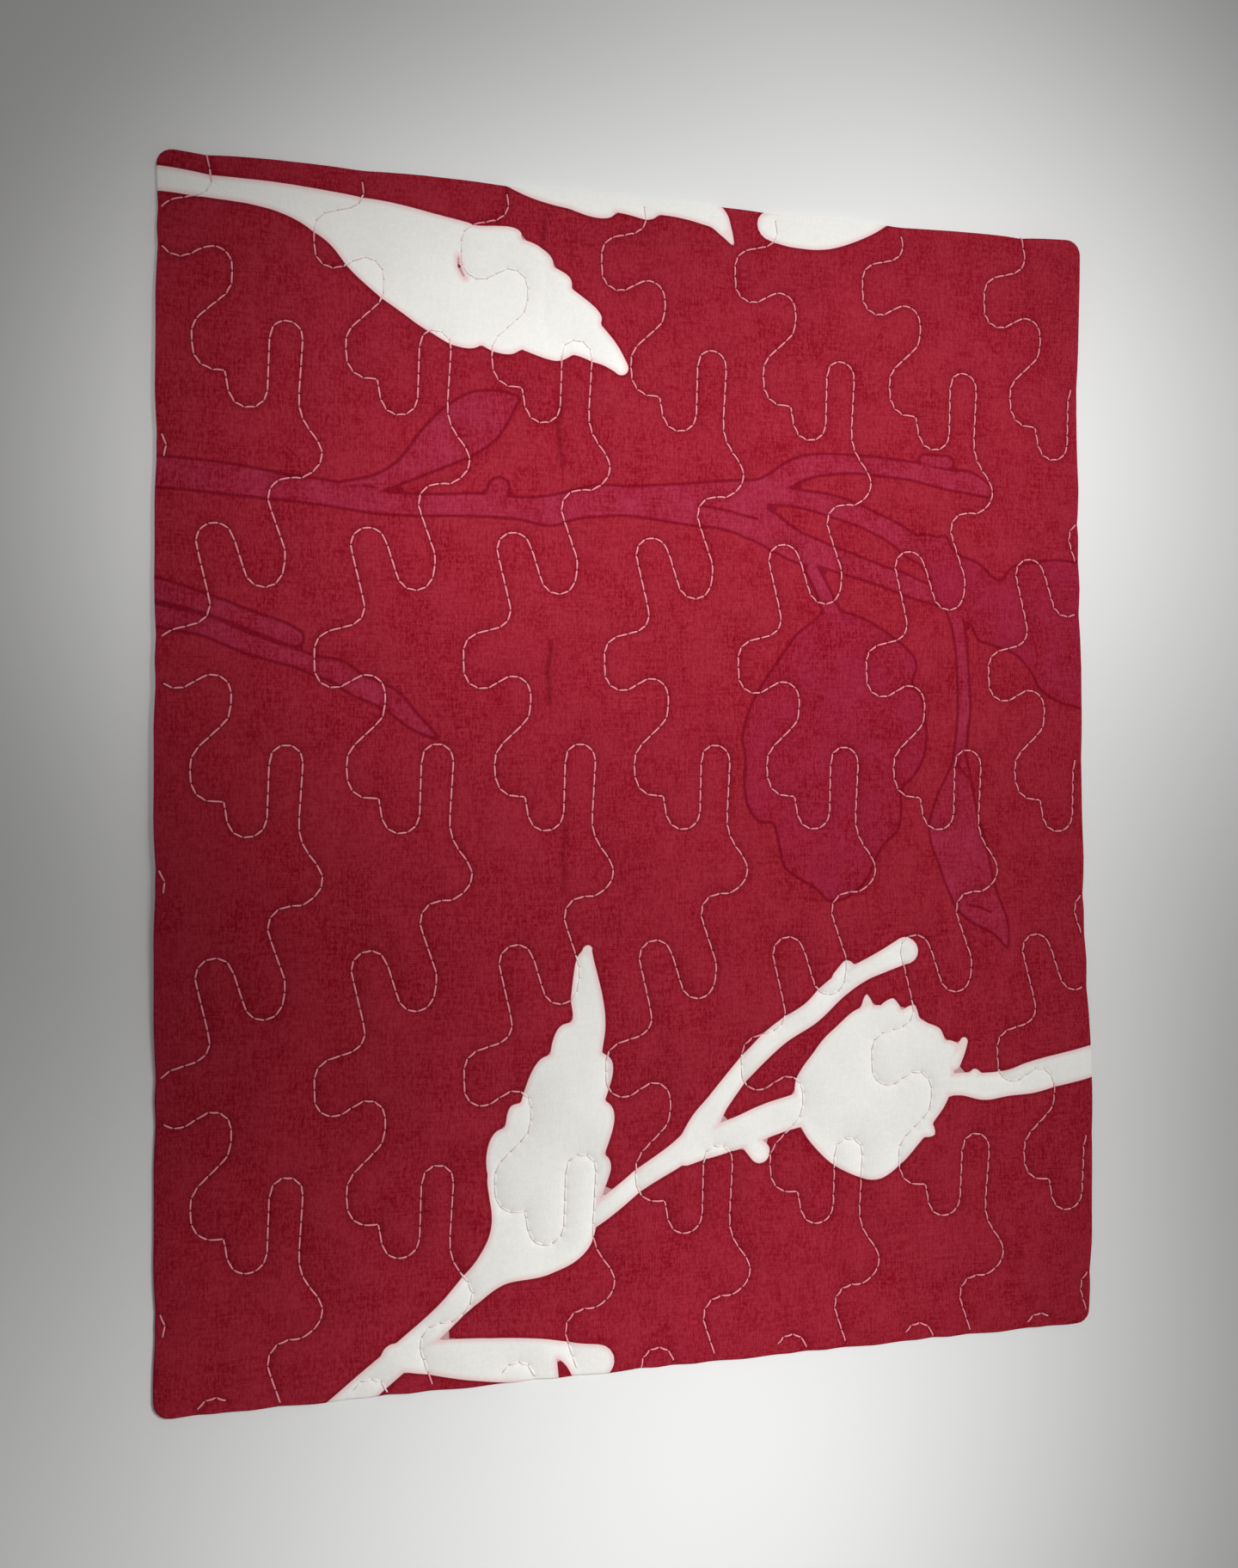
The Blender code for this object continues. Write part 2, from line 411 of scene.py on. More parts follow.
GHOST_STEMS = (
    ((-275, 153, 8), (-225, 150.3, 7.9), (-200, 148.3, 6.9), (-178, 146.4, 6.8), (-156, 143.4, 6.2),
     (-139, 142.3, 5.9), (-117, 143, 5.8), (-97, 143.9, 6.1), (-75, 143.2, 6), (-60, 142.6, 8),
     (-46, 146.6, 7.7), (-31, 149.5, 8.7), (-13, 150, 8.2), (17, 150, 11.3), (35, 150.6, 13),
     (49, 149.8, 15.5)),
    ((50, 156, 9.5), (60, 158.5, 7.6), (69, 164, 6.6), (76, 169, 6.6), (84, 173.3, 6.6),
     (95, 176, 6.2), (107, 177.1, 5.6), (121, 177.7, 5.2), (136, 176.7, 5.3), (150, 175.6, 5.4),
     (166, 173, 5.7), (177, 171.5, 6), (186, 171, 6.5), (194, 168.8, 5.4), (199, 167, 4)),
    ((159.5, 182.3, 3.5), (174, 182, 3.8)),
    ((60, 157.5, 6), (77, 156.8, 5), (90, 155.2, 5.4), (101, 153.6, 6), (113, 150.4, 6.4),
     (121.5, 147.7, 6), (129, 144.3, 6), (136.5, 141.2, 6), (144, 137, 6.4), (152, 132, 7.2),
     (163, 129, 10), (176, 118, 12)),
    ((52, 143, 10), (62, 139.5, 9.8), (71, 134.5, 9), (81, 129.3, 8.6), (91, 126.5, 7.8),
     (100, 124.3, 6.9), (107, 122.2, 6.6), (118.5, 118.8, 6.1), (131, 115, 5.8), (144, 111.4, 6),
     (158, 106.5, 5.6), (175, 105, 7)),
    ((90, 117, 3.8), (94.5, 109, 3.9), (98.5, 101, 4.4), (102, 93, 5)),
    ((-90, 146, 5.2), (-86.5, 153.6, 5.6)),
    ((-275, 98, 6), (-245, 89.5, 5.2), (-229, 84.6, 4.8), (-214, 78.9, 4.8), (-200, 74, 5.1),
     (-192, 70.6, 4.7)),
    ((-275, 84, 6), (-250, 78.3, 5.4), (-236, 75.6, 5.3), (-224, 70.8, 5.2), (-214, 66.8, 5.2),
     (-201, 62.7, 4.8), (-190, 59.7, 4.5), (-181, 56.5, 5), (-170, 53.5, 6), (-161, 47.3, 6),
     (-150, 42.8, 6), (-142, 38.2, 5.6), (-134, 30.2, 4.4), (-126.5, 24.6, 2.9), (-120.5, 20.5, 0.8)),
    ((177, 98, 5), (179.5, 86, 4), (181.5, 64, 3.8), (182.3, 42, 3.9), (181, 26, 3.7),
     (179.5, 8, 4)),
)

# Fine dark lines inside the second print, as paths of points
GHOST_VEINS = (
    ((24, 150.5), (33, 148.6), (42, 147.2), (50, 145.2), (58, 143.8)),
    ((-262, 88.5), (-244, 83.2), (-225, 77.2), (-214, 73.1), (-203, 68.8), (-190, 64.6)),
    ((-152, 150.5), (-158, 151), (-164, 150.2)),
    ((178, 9), (181, 4), (186, -1.5), (189, -8)),
    ((184, -73), (190, -74), (197, -77)),
)

# Bud and flower heads: middle, the distance to their edge in some directions,
# and short spikes round the crown. Directions are in degrees from the right
WHITE_BUD = (122, -176)
WHITE_BUD_EDGE = (
    # direction, distance
    (170, 45.5), (146, 41.5), (118, 43), (97, 48.5), (75, 49), (55, 49.5), (36, 52),
    (14, 51), (-6, 46), (-28, 40.5), (-52, 41), (-72, 46), (-88, 49.5), (-106, 46),
    (-135, 44), (-160, 45),
)
WHITE_BUD_SPIKES = (
    # direction, height, half width
    (93, 7, 4),
    (76, 5, 7),
    (61, 5.5, 6),
    (40, 2, 7),
    (25, 7, 7),
    (-34, 5, 6),
)

# Two heads of the second print, as points round their edge
GHOST_BUD = (
    # x, y
    (98, 93), (89, 86.5), (81, 80.5), (74, 71.5), (62, 54.5), (53, 39), (48, 23.5), (49.5, 12),
    (49, -6), (51, -16), (57, -24), (65.5, -25.5), (68.5, -37), (71, -48), (77, -54), (90, -61.5),
    (98, -68.5), (110, -66.5), (121, -57), (127, -45), (132, -37), (140, -29.5), (142.5, -18),
    (143.5, -6), (151, 2), (157, 13), (159, 28), (156.5, 45), (150.5, 54), (153, 64), (148, 73),
    (132.5, 84), (113, 92.5),
)
GHOST_FLOWER = (
    (160, 133), (172, 139.5), (178, 130), (192, 124.5), (202, 116), (208, 115.5), (214, 122.5),
    (226, 126), (250, 128), (285, 122), (300, 80), (280, 42), (250, 43), (233, 51), (226, 61), (216, 72),
    (203, 76.5), (192, 80), (187.5, 88), (181, 91), (172, 97.5), (160, 104), (163, 114), (160, 122),
)

# How outlines are drawn: lobes lean towards the tip, spikes have full sides, and
# heads are evened out over some degrees. Distances count up to the far one
LOBE_LEAN = 0.5
SPIKE_CURVE = 0.7
HEAD_BLUR = range(-6, 7, 2)
THINNEST = 0.1
CAP_STEPS = 8
OUTLINE_STEP = 1.2
FAR = 20.0
BATCH = 4000


def smooth_rows(rows, step, closed=False):
    """Rows of numbers run through a smooth curve, about one step apart."""
    rows = [np.array(row, float) for row in rows]
    if closed:
        rows = [rows[-1]] + rows + rows[:2]
    else:
        rows = [2 * rows[0] - rows[1]] + rows + [2 * rows[-1] - rows[-2]]
    result = []
    for a, b, c, d in zip(rows, rows[1:], rows[2:], rows[3:]):
        parts = max(2, round(math.hypot(*(c - b)[:2]) / step))
        for k in range(parts):
            t = k / parts
            bend = (2 * a - 5 * b + 4 * c - d) * t * t + (3 * b - a - 3 * c + d) * t ** 3
            result.append(b + ((c - a) * t + bend) / 2)
    if not closed:
        result.append(rows[-2])
    return np.array(result)


def lobe_rise(along, lobes):
    """How far rounded lobes push a leaf's edge out: steep on the tip side, then falling."""
    total = np.zeros_like(along)
    for start, end, rise in lobes:
        part = np.clip((along - start) / (end - start), 0, 1)
        total += rise * np.sin(math.pi * part ** LOBE_LEAN)
    return total


def ribbon(rows, lobes=((), ())):
    """Closed outline of a leaf or stem round its centre line, with rounded ends."""
    path = smooth_rows(rows, OUTLINE_STEP)
    middle = path[:, :2]
    direction = np.gradient(middle, axis=0)
    direction /= np.linalg.norm(direction, axis=1)[:, None]
    normal = np.stack((-direction[:, 1], direction[:, 0]), axis=1)
    along = np.concatenate(([0], np.cumsum(np.linalg.norm(np.diff(middle, axis=0), axis=1))))
    left = np.maximum(path[:, 2] + lobe_rise(along, lobes[0]), THINNEST)
    right = np.maximum(path[:, -1] + lobe_rise(along, lobes[1]), THINNEST)
    outline = list(middle + normal * left[:, None])
    for end, side, radius in ((-1, 1, left[-1]), (0, -1, right[0])):
        for k in range(1, CAP_STEPS):
            turn = math.pi / 2 - math.pi * k / CAP_STEPS
            cap = direction[end] * math.cos(turn) + normal[end] * math.sin(turn)
            outline.append(middle[end] + side * cap * radius)
        if end == -1:
            outline += list((middle - normal * right[:, None])[::-1])
    return np.array(outline)


def head(middle, edge, spikes=()):
    """Closed outline of a bud or flower head, with short spikes round its crown."""
    directions, reaches = np.array(sorted((turn % 360, reach) for turn, reach in edge)).T
    steps = round(math.tau * reaches.max() / OUTLINE_STEP)
    angles = np.arange(steps) * 360 / steps
    nearby = [np.interp(angles + shift, directions, reaches, period=360) for shift in HEAD_BLUR]
    reach = np.mean(nearby, axis=0)
    rise = np.zeros(steps)
    for direction, height, half in spikes:
        off = np.abs((angles - direction + 180) % 360 - 180) / half
        rise = np.maximum(rise, height * np.maximum(0.0, 1 - off) ** SPIKE_CURVE)
    reach = reach + rise
    angles = np.radians(angles)
    return np.column_stack((middle[0] + reach * np.cos(angles), middle[1] + reach * np.sin(angles)))


def outline_distance(points, outline):
    """Signed distance from points to a closed outline, below zero inside it."""
    result = np.full(len(points), FAR)
    low, high = outline.min(axis=0) - FAR, outline.max(axis=0) + FAR
    near = np.flatnonzero(np.all((points > low) & (points < high), axis=1))
    start = outline
    run = np.roll(outline, -1, axis=0) - start
    length = np.maximum((run ** 2).sum(axis=1), TINY)
    for part in np.array_split(near, 1 + len(near) // BATCH):
        if not len(part):
            continue
        offset = points[part][:, None, :] - start[None]
        t = np.clip((offset * run).sum(axis=2) / length, 0, 1)
        gap = np.linalg.norm(offset - t[..., None] * run, axis=2).min(axis=1)
        cross = run[:, 0] * offset[..., 1] - run[:, 1] * offset[..., 0]
        above = offset[..., 1] >= 0
        below_end = offset[..., 1] < run[:, 1]
        winding = (above & below_end & (cross > 0)).sum(axis=1)
        winding -= (~above & ~below_end & (cross < 0)).sum(axis=1)
        result[part] = np.where(winding != 0, -gap, gap)
    return np.clip(result, -FAR, FAR)


def print_distance(points, shapes, cuts):
    """Signed distance to the edge of several shapes as one, less the cuts in them."""
    nearest = np.full(len(points), FAR)
    for outline in shapes:
        nearest = np.minimum(nearest, outline_distance(points, outline))
    for outline in cuts:
        nearest = np.maximum(nearest, -outline_distance(points, outline))
    return nearest


def white_shapes():
    """Outlines of the white print, and of the cuts in it."""
    shapes = [
        ribbon(TOP_LEAF, TOP_LEAF_LOBES),
        ribbon(LOW_LEAF, LOW_LEAF_LOBES),
        ribbon(TOP_EDGE_LEAF, TOP_EDGE_LEAF_LOBES),
        head(WHITE_BUD, WHITE_BUD_EDGE, WHITE_BUD_SPIKES),
    ]
    shapes += [ribbon(rows) for rows in WHITE_STEMS]
    return shapes, [ribbon(rows) for rows in WHITE_CUTS]


def ghost_shapes():
    """Outlines of the second print's leaves and stems, and of its two heads."""
    stems = [ribbon(GHOST_LEAF), ribbon(LOW_GHOST_LEAF)]
    stems += [ribbon(rows) for rows in GHOST_STEMS]
    heads = [smooth_rows(rows, OUTLINE_STEP, closed=True) for rows in (GHOST_BUD, GHOST_FLOWER)]
    return stems, heads


def vein_distance(points):
    """Distance from points to the nearest vein of the second print."""
    nearest = np.full(len(points), FAR)
    for path in GHOST_VEINS:
        there = smooth_rows(path, OUTLINE_STEP)
        loop = np.concatenate((there, there[-2:0:-1]))
        nearest = np.minimum(nearest, np.abs(outline_distance(points, loop)))
    return nearest


def print_values(points):
    """What the cotton reads of both prints at some points, in millimetres."""
    shapes, cuts = white_shapes()
    stems, heads = ghost_shapes()
    in_head = print_distance(points, heads, [])
    return {
        "white": print_distance(points, shapes, cuts),
        "ghost": np.minimum(print_distance(points, stems, []), in_head),
        "head": in_head,
        "vein": vein_distance(points),
    }


# Cloth and thread

class PointField:
    """Points of the cloth's face, each kept a set gap from those already there."""

    CELL = 0.0025

    def __init__(self):
        self.cells = {}
        self.points = []

    def add(self, x, y, gap):
        """Keep a point, unless another one is nearer to it than the gap."""
        column, row = math.floor(x / self.CELL), math.floor(y / self.CELL)
        for i in (column - 1, column, column + 1):
            for j in (row - 1, row, row + 1):
                for other_x, other_y in self.cells.get((i, j), ()):
                    if (x - other_x) ** 2 + (y - other_y) ** 2 < gap * gap:
                        return
        self.cells.setdefault((column, row), []).append((x, y))
        self.points.append((x, y))


def triangle_field(step, clearance):
    """A triangular field of points inside the rim, and clear of it."""
    row_height = step * math.sqrt(3) / 2
    points = []
    for row in range(math.ceil(CUT_LENGTH / row_height)):
        y = (row + 0.5) * row_height - CUT_LENGTH / 2
        for column in range(math.ceil(CUT_WIDTH / step)):
            x = (column + 0.25 + 0.5 * (row % 2)) * step - CUT_WIDTH / 2
            if rim_distance(x, y) > clearance:
                points.append((x, y))
    return points


def rim_outline(sewing):
    """The cut's outline, drawn in a little wherever the sewing runs near it."""
    half_x = CUT_WIDTH / 2 - CORNER_RADIUS
    half_y = CUT_LENGTH / 2 - CORNER_RADIUS
    corner_steps = round(math.pi / 2 * CORNER_RADIUS / RIM_STEP)
    loop = []
    for side_x, side_y, start in ((1, 1, 0), (-1, 1, 90), (-1, -1, 180), (1, -1, 270)):
        for k in range(corner_steps + 1):
            angle = math.radians(start + 90 * k / corner_steps)
            bend = Vector((math.cos(angle), math.sin(angle)))
            loop.append((Vector((side_x * half_x, side_y * half_y)), bend))
    outline = []
    for (middle, bend), (next_middle, next_bend) in zip(loop, loop[1:] + loop[:1]):
        run = (next_middle - middle).length
        parts = max(1, round(run / RIM_STEP))
        for k in range(parts):
            base = middle.lerp(next_middle, k / parts)
            point = base + bend * CORNER_RADIUS
            gap = sewing.find((point.x, point.y, 0.0))[2]
            pull = RIM_PULL * math.exp(-gap / RIM_PULL_REACH)
            outline.append((point - bend * pull, bend))
    return outline


def add_flank(field, stitches, sewing, offset):
    """Points along every stitch, or one row beside it that keeps off other stitches."""
    for start, end in stitches:
        run = end - start
        aside = Vector((-run.y, run.x)).normalized() * offset
        for k in range(STITCH_PARTS):
            point = start + run * (k / STITCH_PARTS) + aside
            gap = sewing.find((point.x, point.y, 0.0))[2]
            if gap >= FLANK_CROWDING * abs(offset) and rim_distance(point.x, point.y) > RIM_CLEARANCE:
                field.add(point.x, point.y, POINT_GAP)


def add_path(field, path, aside):
    """Points along a line of the print, or beside it, to show its edge crisply."""
    left = 0.0
    for start, end in zip(path, path[1:]):
        length = math.dist(start, end)
        run = (end - start) / max(length, TINY)
        at = left
        while at < length:
            x, y = start + run * at + np.array((-run[1], run[0])) * aside
            if rim_distance(x, y) > RIM_CLEARANCE:
                field.add(x, y, PRINT_GAP)
            at += PRINT_STEP
        left = at - length


def add_print(field):
    """Points on the edges of both prints and just inside, and along the veins."""
    shapes, cuts = white_shapes()
    stems, heads = ghost_shapes()
    for outline in shapes + cuts + stems + heads:
        loop = np.concatenate((outline, outline[:1]))
        area = (loop[:-1, 0] * loop[1:, 1] - loop[1:, 0] * loop[:-1, 1]).sum()
        for row in PRINT_ROWS:
            add_path(field, loop * MM, math.copysign(row, area))
    for path in GHOST_VEINS:
        for row in VEIN_ROWS:
            add_path(field, smooth_rows(path, OUTLINE_STEP) * MM, row)


def add_crease(field, row):
    """Points along a crease and on both sides of it."""
    start, run = row[:2], row[2:] - row[:2]
    length = math.hypot(*run)
    aside = np.array((-run[1], run[0])) / length
    for offset in CREASE_ROWS:
        for k in range(round(length / PRINT_STEP) + 1):
            middle = start + run * (k * PRINT_STEP / length)
            x, y = middle + aside * (offset - crease_place(*middle, *row)[1])
            if rim_distance(x, y) > RIM_CLEARANCE:
                field.add(x, y, PRINT_GAP)


def face_points(stitches, sewing):
    """Points of the face: on the sewing, print and creases, then between."""
    field = PointField()
    add_flank(field, stitches, sewing, 0.0)
    add_print(field)
    for row in CREASES:
        add_crease(field, np.array(row[:4]) * MM)
    for offset in FLANK_ROWS:
        add_flank(field, stitches, sewing, offset)
    for x, y in triangle_field(FILL_STEP, FILL_CLEARANCE):
        field.add(x, y, FILL_GAP)
    return field.points


def fold_height(x, y):
    """Height of the cloth's underside above the surface it lies on."""
    total = np.zeros_like(x)
    for middle_x, middle_y, half_length, angle, left, right, height in FOLDS:
        crest = math.radians(angle)
        dx, dy = x - middle_x, y - middle_y
        along = dx * math.cos(crest) + dy * math.sin(crest)
        aside = dy * math.cos(crest) - dx * math.sin(crest)
        reach = np.where(aside > 0, left, right)
        total += height * np.exp(-(along / half_length) ** 2 - (aside / reach) ** 2)
    return np.maximum(total - FOLD_FOOT, 0.0)


def crease_place(x, y, x1, y1, x2, y2):
    """Distance along a crease and beside its wandering middle, and its length."""
    run_x, run_y = x2 - x1, y2 - y1
    length = math.hypot(run_x, run_y)
    along = ((x - x1) * run_x + (y - y1) * run_y) / length
    aside = ((y - y1) * run_x - (x - x1) * run_y) / length
    waves = sum(share * np.sin(along * turns + start) for turns, start, share in CREASE_WAVES)
    return along, aside - CREASE_WANDER * waves, length


def crease_depth(x, y):
    """Depth of the pressed creases, fading towards their ends."""
    total = np.zeros_like(x)
    for x1, y1, x2, y2, half_width, depth in np.array(CREASES) * MM:
        along, aside, length = crease_place(x, y, x1, y1, x2, y2)
        fade = np.clip(along / CREASE_FADE, 0, 1) * np.clip((length - along) / CREASE_FADE, 0, 1)
        total += depth * fade * np.exp(-(aside / half_width) ** 2)
    return total


def unevenness(x, y, size, seed):
    """Smooth random ups and downs within about one, the given size across."""
    return np.array([noise.noise(Vector((a / size, b / size, seed))) for a, b in zip(x, y)])


class Sewing:
    """Where the sewing lies, and how it presses the cloth down around it."""

    SAMPLES = 12

    def __init__(self, stitches):
        self.samples = []
        for start, end in stitches:
            self.samples += [tuple(start.lerp(end, k / self.SAMPLES)) for k in range(self.SAMPLES)]
        self.line = tree_of(self.samples)
        self.holes = tree_of([tuple(start) for start, end in stitches])
        draw = random.Random(PUCKER_SEED)
        self.strength = np.array([draw.uniform(*PUCKER_STRENGTH) for _ in stitches])

    def face_height(self, x, y):
        """Height of the face above the underside, and distance to sewing and holes."""
        points = np.stack((x, y), axis=1)
        gap, sample = distances(self.line, points)
        hole_gap, _ = distances(self.holes, points)
        rounded = 1 - np.exp(-np.maximum(rim_distance(x, y), 0) / RIM_REACH)
        lumps = sum(share * unevenness(x, y, size, seed) for size, share, seed in LUMPS)
        filled = 1 - np.exp(-gap / PUFF_REACH)
        dent = 1 - np.exp(-gap / DENT_REACH)
        rise = PUFF_RISE * filled * (1 + LUMP_SHARE * lumps) + DENT_RISE * dent
        phase = (sample % self.SAMPLES) / self.SAMPLES
        ripple = -np.cos(math.tau * phase) * self.strength[sample // self.SAMPLES]
        pucker = PUCKER * ripple * np.exp(-gap / PUCKER_REACH)
        hole = HOLE_DEPTH * np.exp(-(hole_gap / HOLE_REACH) ** 2)
        shape = SEAM_THICKNESS + rise * rounded + pucker * rounded - hole
        return shape - crease_depth(x, y) * rounded, gap, hole_gap


def skin(outline, inner):
    """Triangles over an outline through inner points: points, faces and rim numbers."""
    count = len(outline)
    points = [Vector(point) for point in outline + inner]
    edges = [(k, (k + 1) % count) for k in range(count)]
    inside_only = 1
    found, _, faces, origins, _, _ = delaunay_2d_cdt(points, edges, [], inside_only, WELD)
    places = {}
    for number, origin in enumerate(origins):
        for source in origin:
            places[source] = number
    rim = [places[k] for k in range(count)]
    return np.array([(point.x, point.y) for point in found]), faces, rim


def new_piece(name, verts, faces):
    """A smoothly shaded mesh object, linked into the scene."""
    mesh = bpy.data.meshes.new(name)
    mesh.from_pydata(verts.tolist(), [], faces)
    mesh.shade_smooth()
    piece = bpy.data.objects.new(name, mesh)
    bpy.context.scene.collection.objects.link(piece)
    return piece


def store(piece, name, values):
    """Keep one number for each point of a piece, for its material to read."""
    attribute = piece.data.attributes.new(name, "FLOAT", "POINT")
    attribute.data.foreach_set("value", values.astype(np.float32))


def rim_layers(rim, edge_height):
    """Points of the half-round rim, ring by ring from the face's edge to the back's."""
    places = np.array([tuple(point) for point, bend in rim])
    outward = np.array([tuple(bend) for point, bend in rim])
    layers = []
    for row in range(1, RIM_ROWS):
        turn = math.pi / 2 - math.pi * row / RIM_ROWS
        ring = places - outward * RIM_RADIUS * (1 - math.cos(turn))
        z = fold_height(ring[:, 0], ring[:, 1]) + edge_height * (1 + math.sin(turn)) / 2
        layers.append(np.column_stack((ring, z)))
    return layers


def ring_faces(upper, lower):
    """Four-sided faces between two rings with the same number of points."""
    faces = []
    for k in range(len(upper)):
        after = (k + 1) % len(upper)
        faces.append((upper[k], lower[k], lower[after], upper[after]))
    return faces


def make_cloth(stitches, sewing):
    """The closed sheet: printed face, half-round rim and plain back."""
    rim = rim_outline(sewing.line)
    edge = [tuple(point - bend * RIM_RADIUS) for point, bend in rim]
    top, top_faces, top_rim = skin(edge, face_points(stitches, sewing.line))
    back, back_faces, back_rim = skin(edge, triangle_field(BACK_STEP, BACK_CLEARANCE))
    height, gap, hole_gap = sewing.face_height(top[:, 0], top[:, 1])
    top_z = fold_height(top[:, 0], top[:, 1]) + height
    back_z = fold_height(back[:, 0], back[:, 1])
    layers = [np.column_stack((top, top_z)), np.column_stack((back, back_z))]
    verts = np.concatenate(layers + rim_layers(rim, height[top_rim]))
    faces = [tuple(face) for face in top_faces]
    faces += [tuple(len(top) + k for k in reversed(face)) for face in back_faces]
    rim_start = len(top) + len(back)
    rings = [range(start, start + len(rim)) for start in range(rim_start, len(verts), len(rim))]
    rings = [top_rim, *rings, [len(top) + k for k in back_rim]]
    for upper, lower in zip(rings, rings[1:]):
        faces += ring_faces(upper, lower)
    cloth = new_piece("quilt_cloth", verts, faces)
    printed = np.concatenate((top, verts[rim_start:, :2]))
    unsewn = np.full(len(verts) - rim_start, FAR)
    values = print_values(printed / MM)
    # The creases' depth and the distance to the sewing also place painted shade on the red
    values["crease"] = crease_depth(*printed.T) / CREASE_DEEP
    values["gap"] = np.concatenate((gap / MM, unsewn))
    # The distance to the needle holes also places painted shadow in them
    values["hole"] = np.concatenate((hole_gap / MM, unsewn))
    for name, value in values.items():
        on_back = np.full(len(back), 0.0 if name == "crease" else FAR)
        store(cloth, name, np.concatenate((value[:len(top)], on_back, value[len(top):])))
    return cloth


def strand_points(starts, ends, sewing):
    """Points of every stitch: rings round a bent strand, then its two sunk tips."""
    run = ends - starts
    along = run / np.linalg.norm(run, axis=1)[:, None]
    aside = np.stack((-along[:, 1], along[:, 0]), axis=1)
    rings, sides = len(THREAD_RINGS), THREAD_SIDES
    points = np.zeros((len(starts), rings * sides + 2, 3))
    for ring, t in enumerate(THREAD_RINGS):
        middle = starts + run * t
        off_middle = abs(2 * t - 1)
        height, _, _ = sewing.face_height(middle[:, 0], middle[:, 1])
        arch = THREAD_RADIUS * (THREAD_ARCH - THREAD_DIVE * off_middle ** 6)
        z = fold_height(middle[:, 0], middle[:, 1]) + height + arch
        radius = THREAD_RADIUS * (1 - THREAD_TAPER * off_middle ** 4)
        for side in range(sides):
            angle = math.tau * side / sides
            place = points[:, ring * sides + side]
            place[:, :2] = middle + aside * radius * math.cos(angle)
            place[:, 2] = z + radius * math.sin(angle)
    for tip, t, ring in ((-2, 0.0, 0), (-1, 1.0, rings - 1)):
        ring_z = points[:, ring * sides:(ring + 1) * sides, 2].mean(axis=1)
        points[:, tip, :2] = starts + run * t
        points[:, tip, 2] = ring_z - THREAD_SINK * THREAD_RADIUS
    return points


def strand_faces():
    """Faces of one strand, and the ring and side at each of their corners in turn."""
    rings, sides = len(THREAD_RINGS), THREAD_SIDES
    last = (rings - 1) * sides
    first_tip, last_tip = rings * sides, rings * sides + 1
    faces = []
    corners = []
    for ring in range(rings - 1):
        for side in range(sides):
            after = (side + 1) % sides
            low, high = ring * sides, (ring + 1) * sides
            faces.append((low + side, low + after, high + after, high + side))
            corners += [(ring, side), (ring, side + 1), (ring + 1, side + 1), (ring + 1, side)]
    for side in range(sides):
        after = (side + 1) % sides
        faces.append((after, side, first_tip))
        faces.append((last + side, last + after, last_tip))
        corners += [(0, side + 1), (0, side), (0, side)]
        corners += [(rings - 1, side), (rings - 1, side + 1), (rings - 1, side)]
    return faces, corners


def make_thread(stitches, sewing):
    """One joined mesh of stitches, each a short strand bent down into its holes."""
    starts = np.array([tuple(start) for start, end in stitches])
    ends = np.array([tuple(end) for start, end in stitches])
    points = strand_points(starts, ends, sewing)
    faces, corners = strand_faces()
    size = points.shape[1]
    every = [tuple(k + n * size for k in face) for n in range(len(stitches)) for face in faces]
    thread = new_piece("quilting_thread", points.reshape(-1, 3), every)
    length = np.linalg.norm(ends - starts, axis=1)
    unit = np.array([(THREAD_RINGS[ring], side / THREAD_SIDES) for ring, side in corners])
    twist = np.tile(unit, (len(stitches), 1))
    twist[:, 0] *= np.repeat(length / THREAD_TWIST, len(unit))
    layer = thread.data.uv_layers.new(name="twist")
    layer.data.foreach_set("uv", twist.astype(np.float32).ravel())
    shapes, cuts = white_shapes()
    on_white = print_distance((starts + ends) / 2 / MM, shapes, cuts)
    store(thread, "white", np.repeat(on_white, size))
    return thread


# Materials

RED = (0.313, 0.0098, 0.0243)
RED_LIGHT = (0.402, 0.0300, 0.0520)
RED_DARK = (0.224, 0.0018, 0.0088)
# Painted shade, laid beside the sewing and in the pressed creases
RED_PAINTED_SHADE = (0.140, 0.0030, 0.0090)
GHOST_TINT = (1.03, 1.25, 1.60)
HEAD_TINT = (0.95, 0.90, 1.30)
GHOST_EDGE = (0.178, 0.0026, 0.0112)
PRINT_WHITE = (0.965, 0.95, 0.91)
PRINT_PINK = (0.93, 0.60, 0.60)
PRINT_RIM = (0.19, 0.0055, 0.0140)
PRINT_GREY = (0.55, 0.50, 0.48)
# Painted shadow in the needle holes: grey on the white print, dark red elsewhere
HOLE_SHADOW_GREY = (0.22, 0.17, 0.17)
HOLE_SHADOW_RED = (0.07, 0.002, 0.005)
THREAD_PINK = (0.99, 0.33, 0.40)
THREAD_WHITE = (0.93, 0.90, 0.87)
THREAD_SHADE = (0.88, 0.66, 0.68)

# Colours laid over the red in turn: the second print's dark edge lines, painted shade beside the sewing
# and in the creases, and a dark rim round the white print. Places are distances in millimetres, and for
# the creases their depth. A shade begins at one place and is full at another
RED_SHADES = (
    # drawn by, begins, full, share, colour
    ("edge", 1.4, 0.3, 0.72, GHOST_EDGE),
    # The next three rows are painted shade: beside the sewing, wide then narrow, and in the creases
    ("gap", 4.4, 0.9, 0.20, RED_PAINTED_SHADE),
    ("gap", 1.3, 0.45, 0.55, RED_PAINTED_SHADE),
    ("crease", 0.2, 1.0, 0.50, RED_PAINTED_SHADE),
    ("white", 2.6, 0.6, 0.50, PRINT_RIM),
)

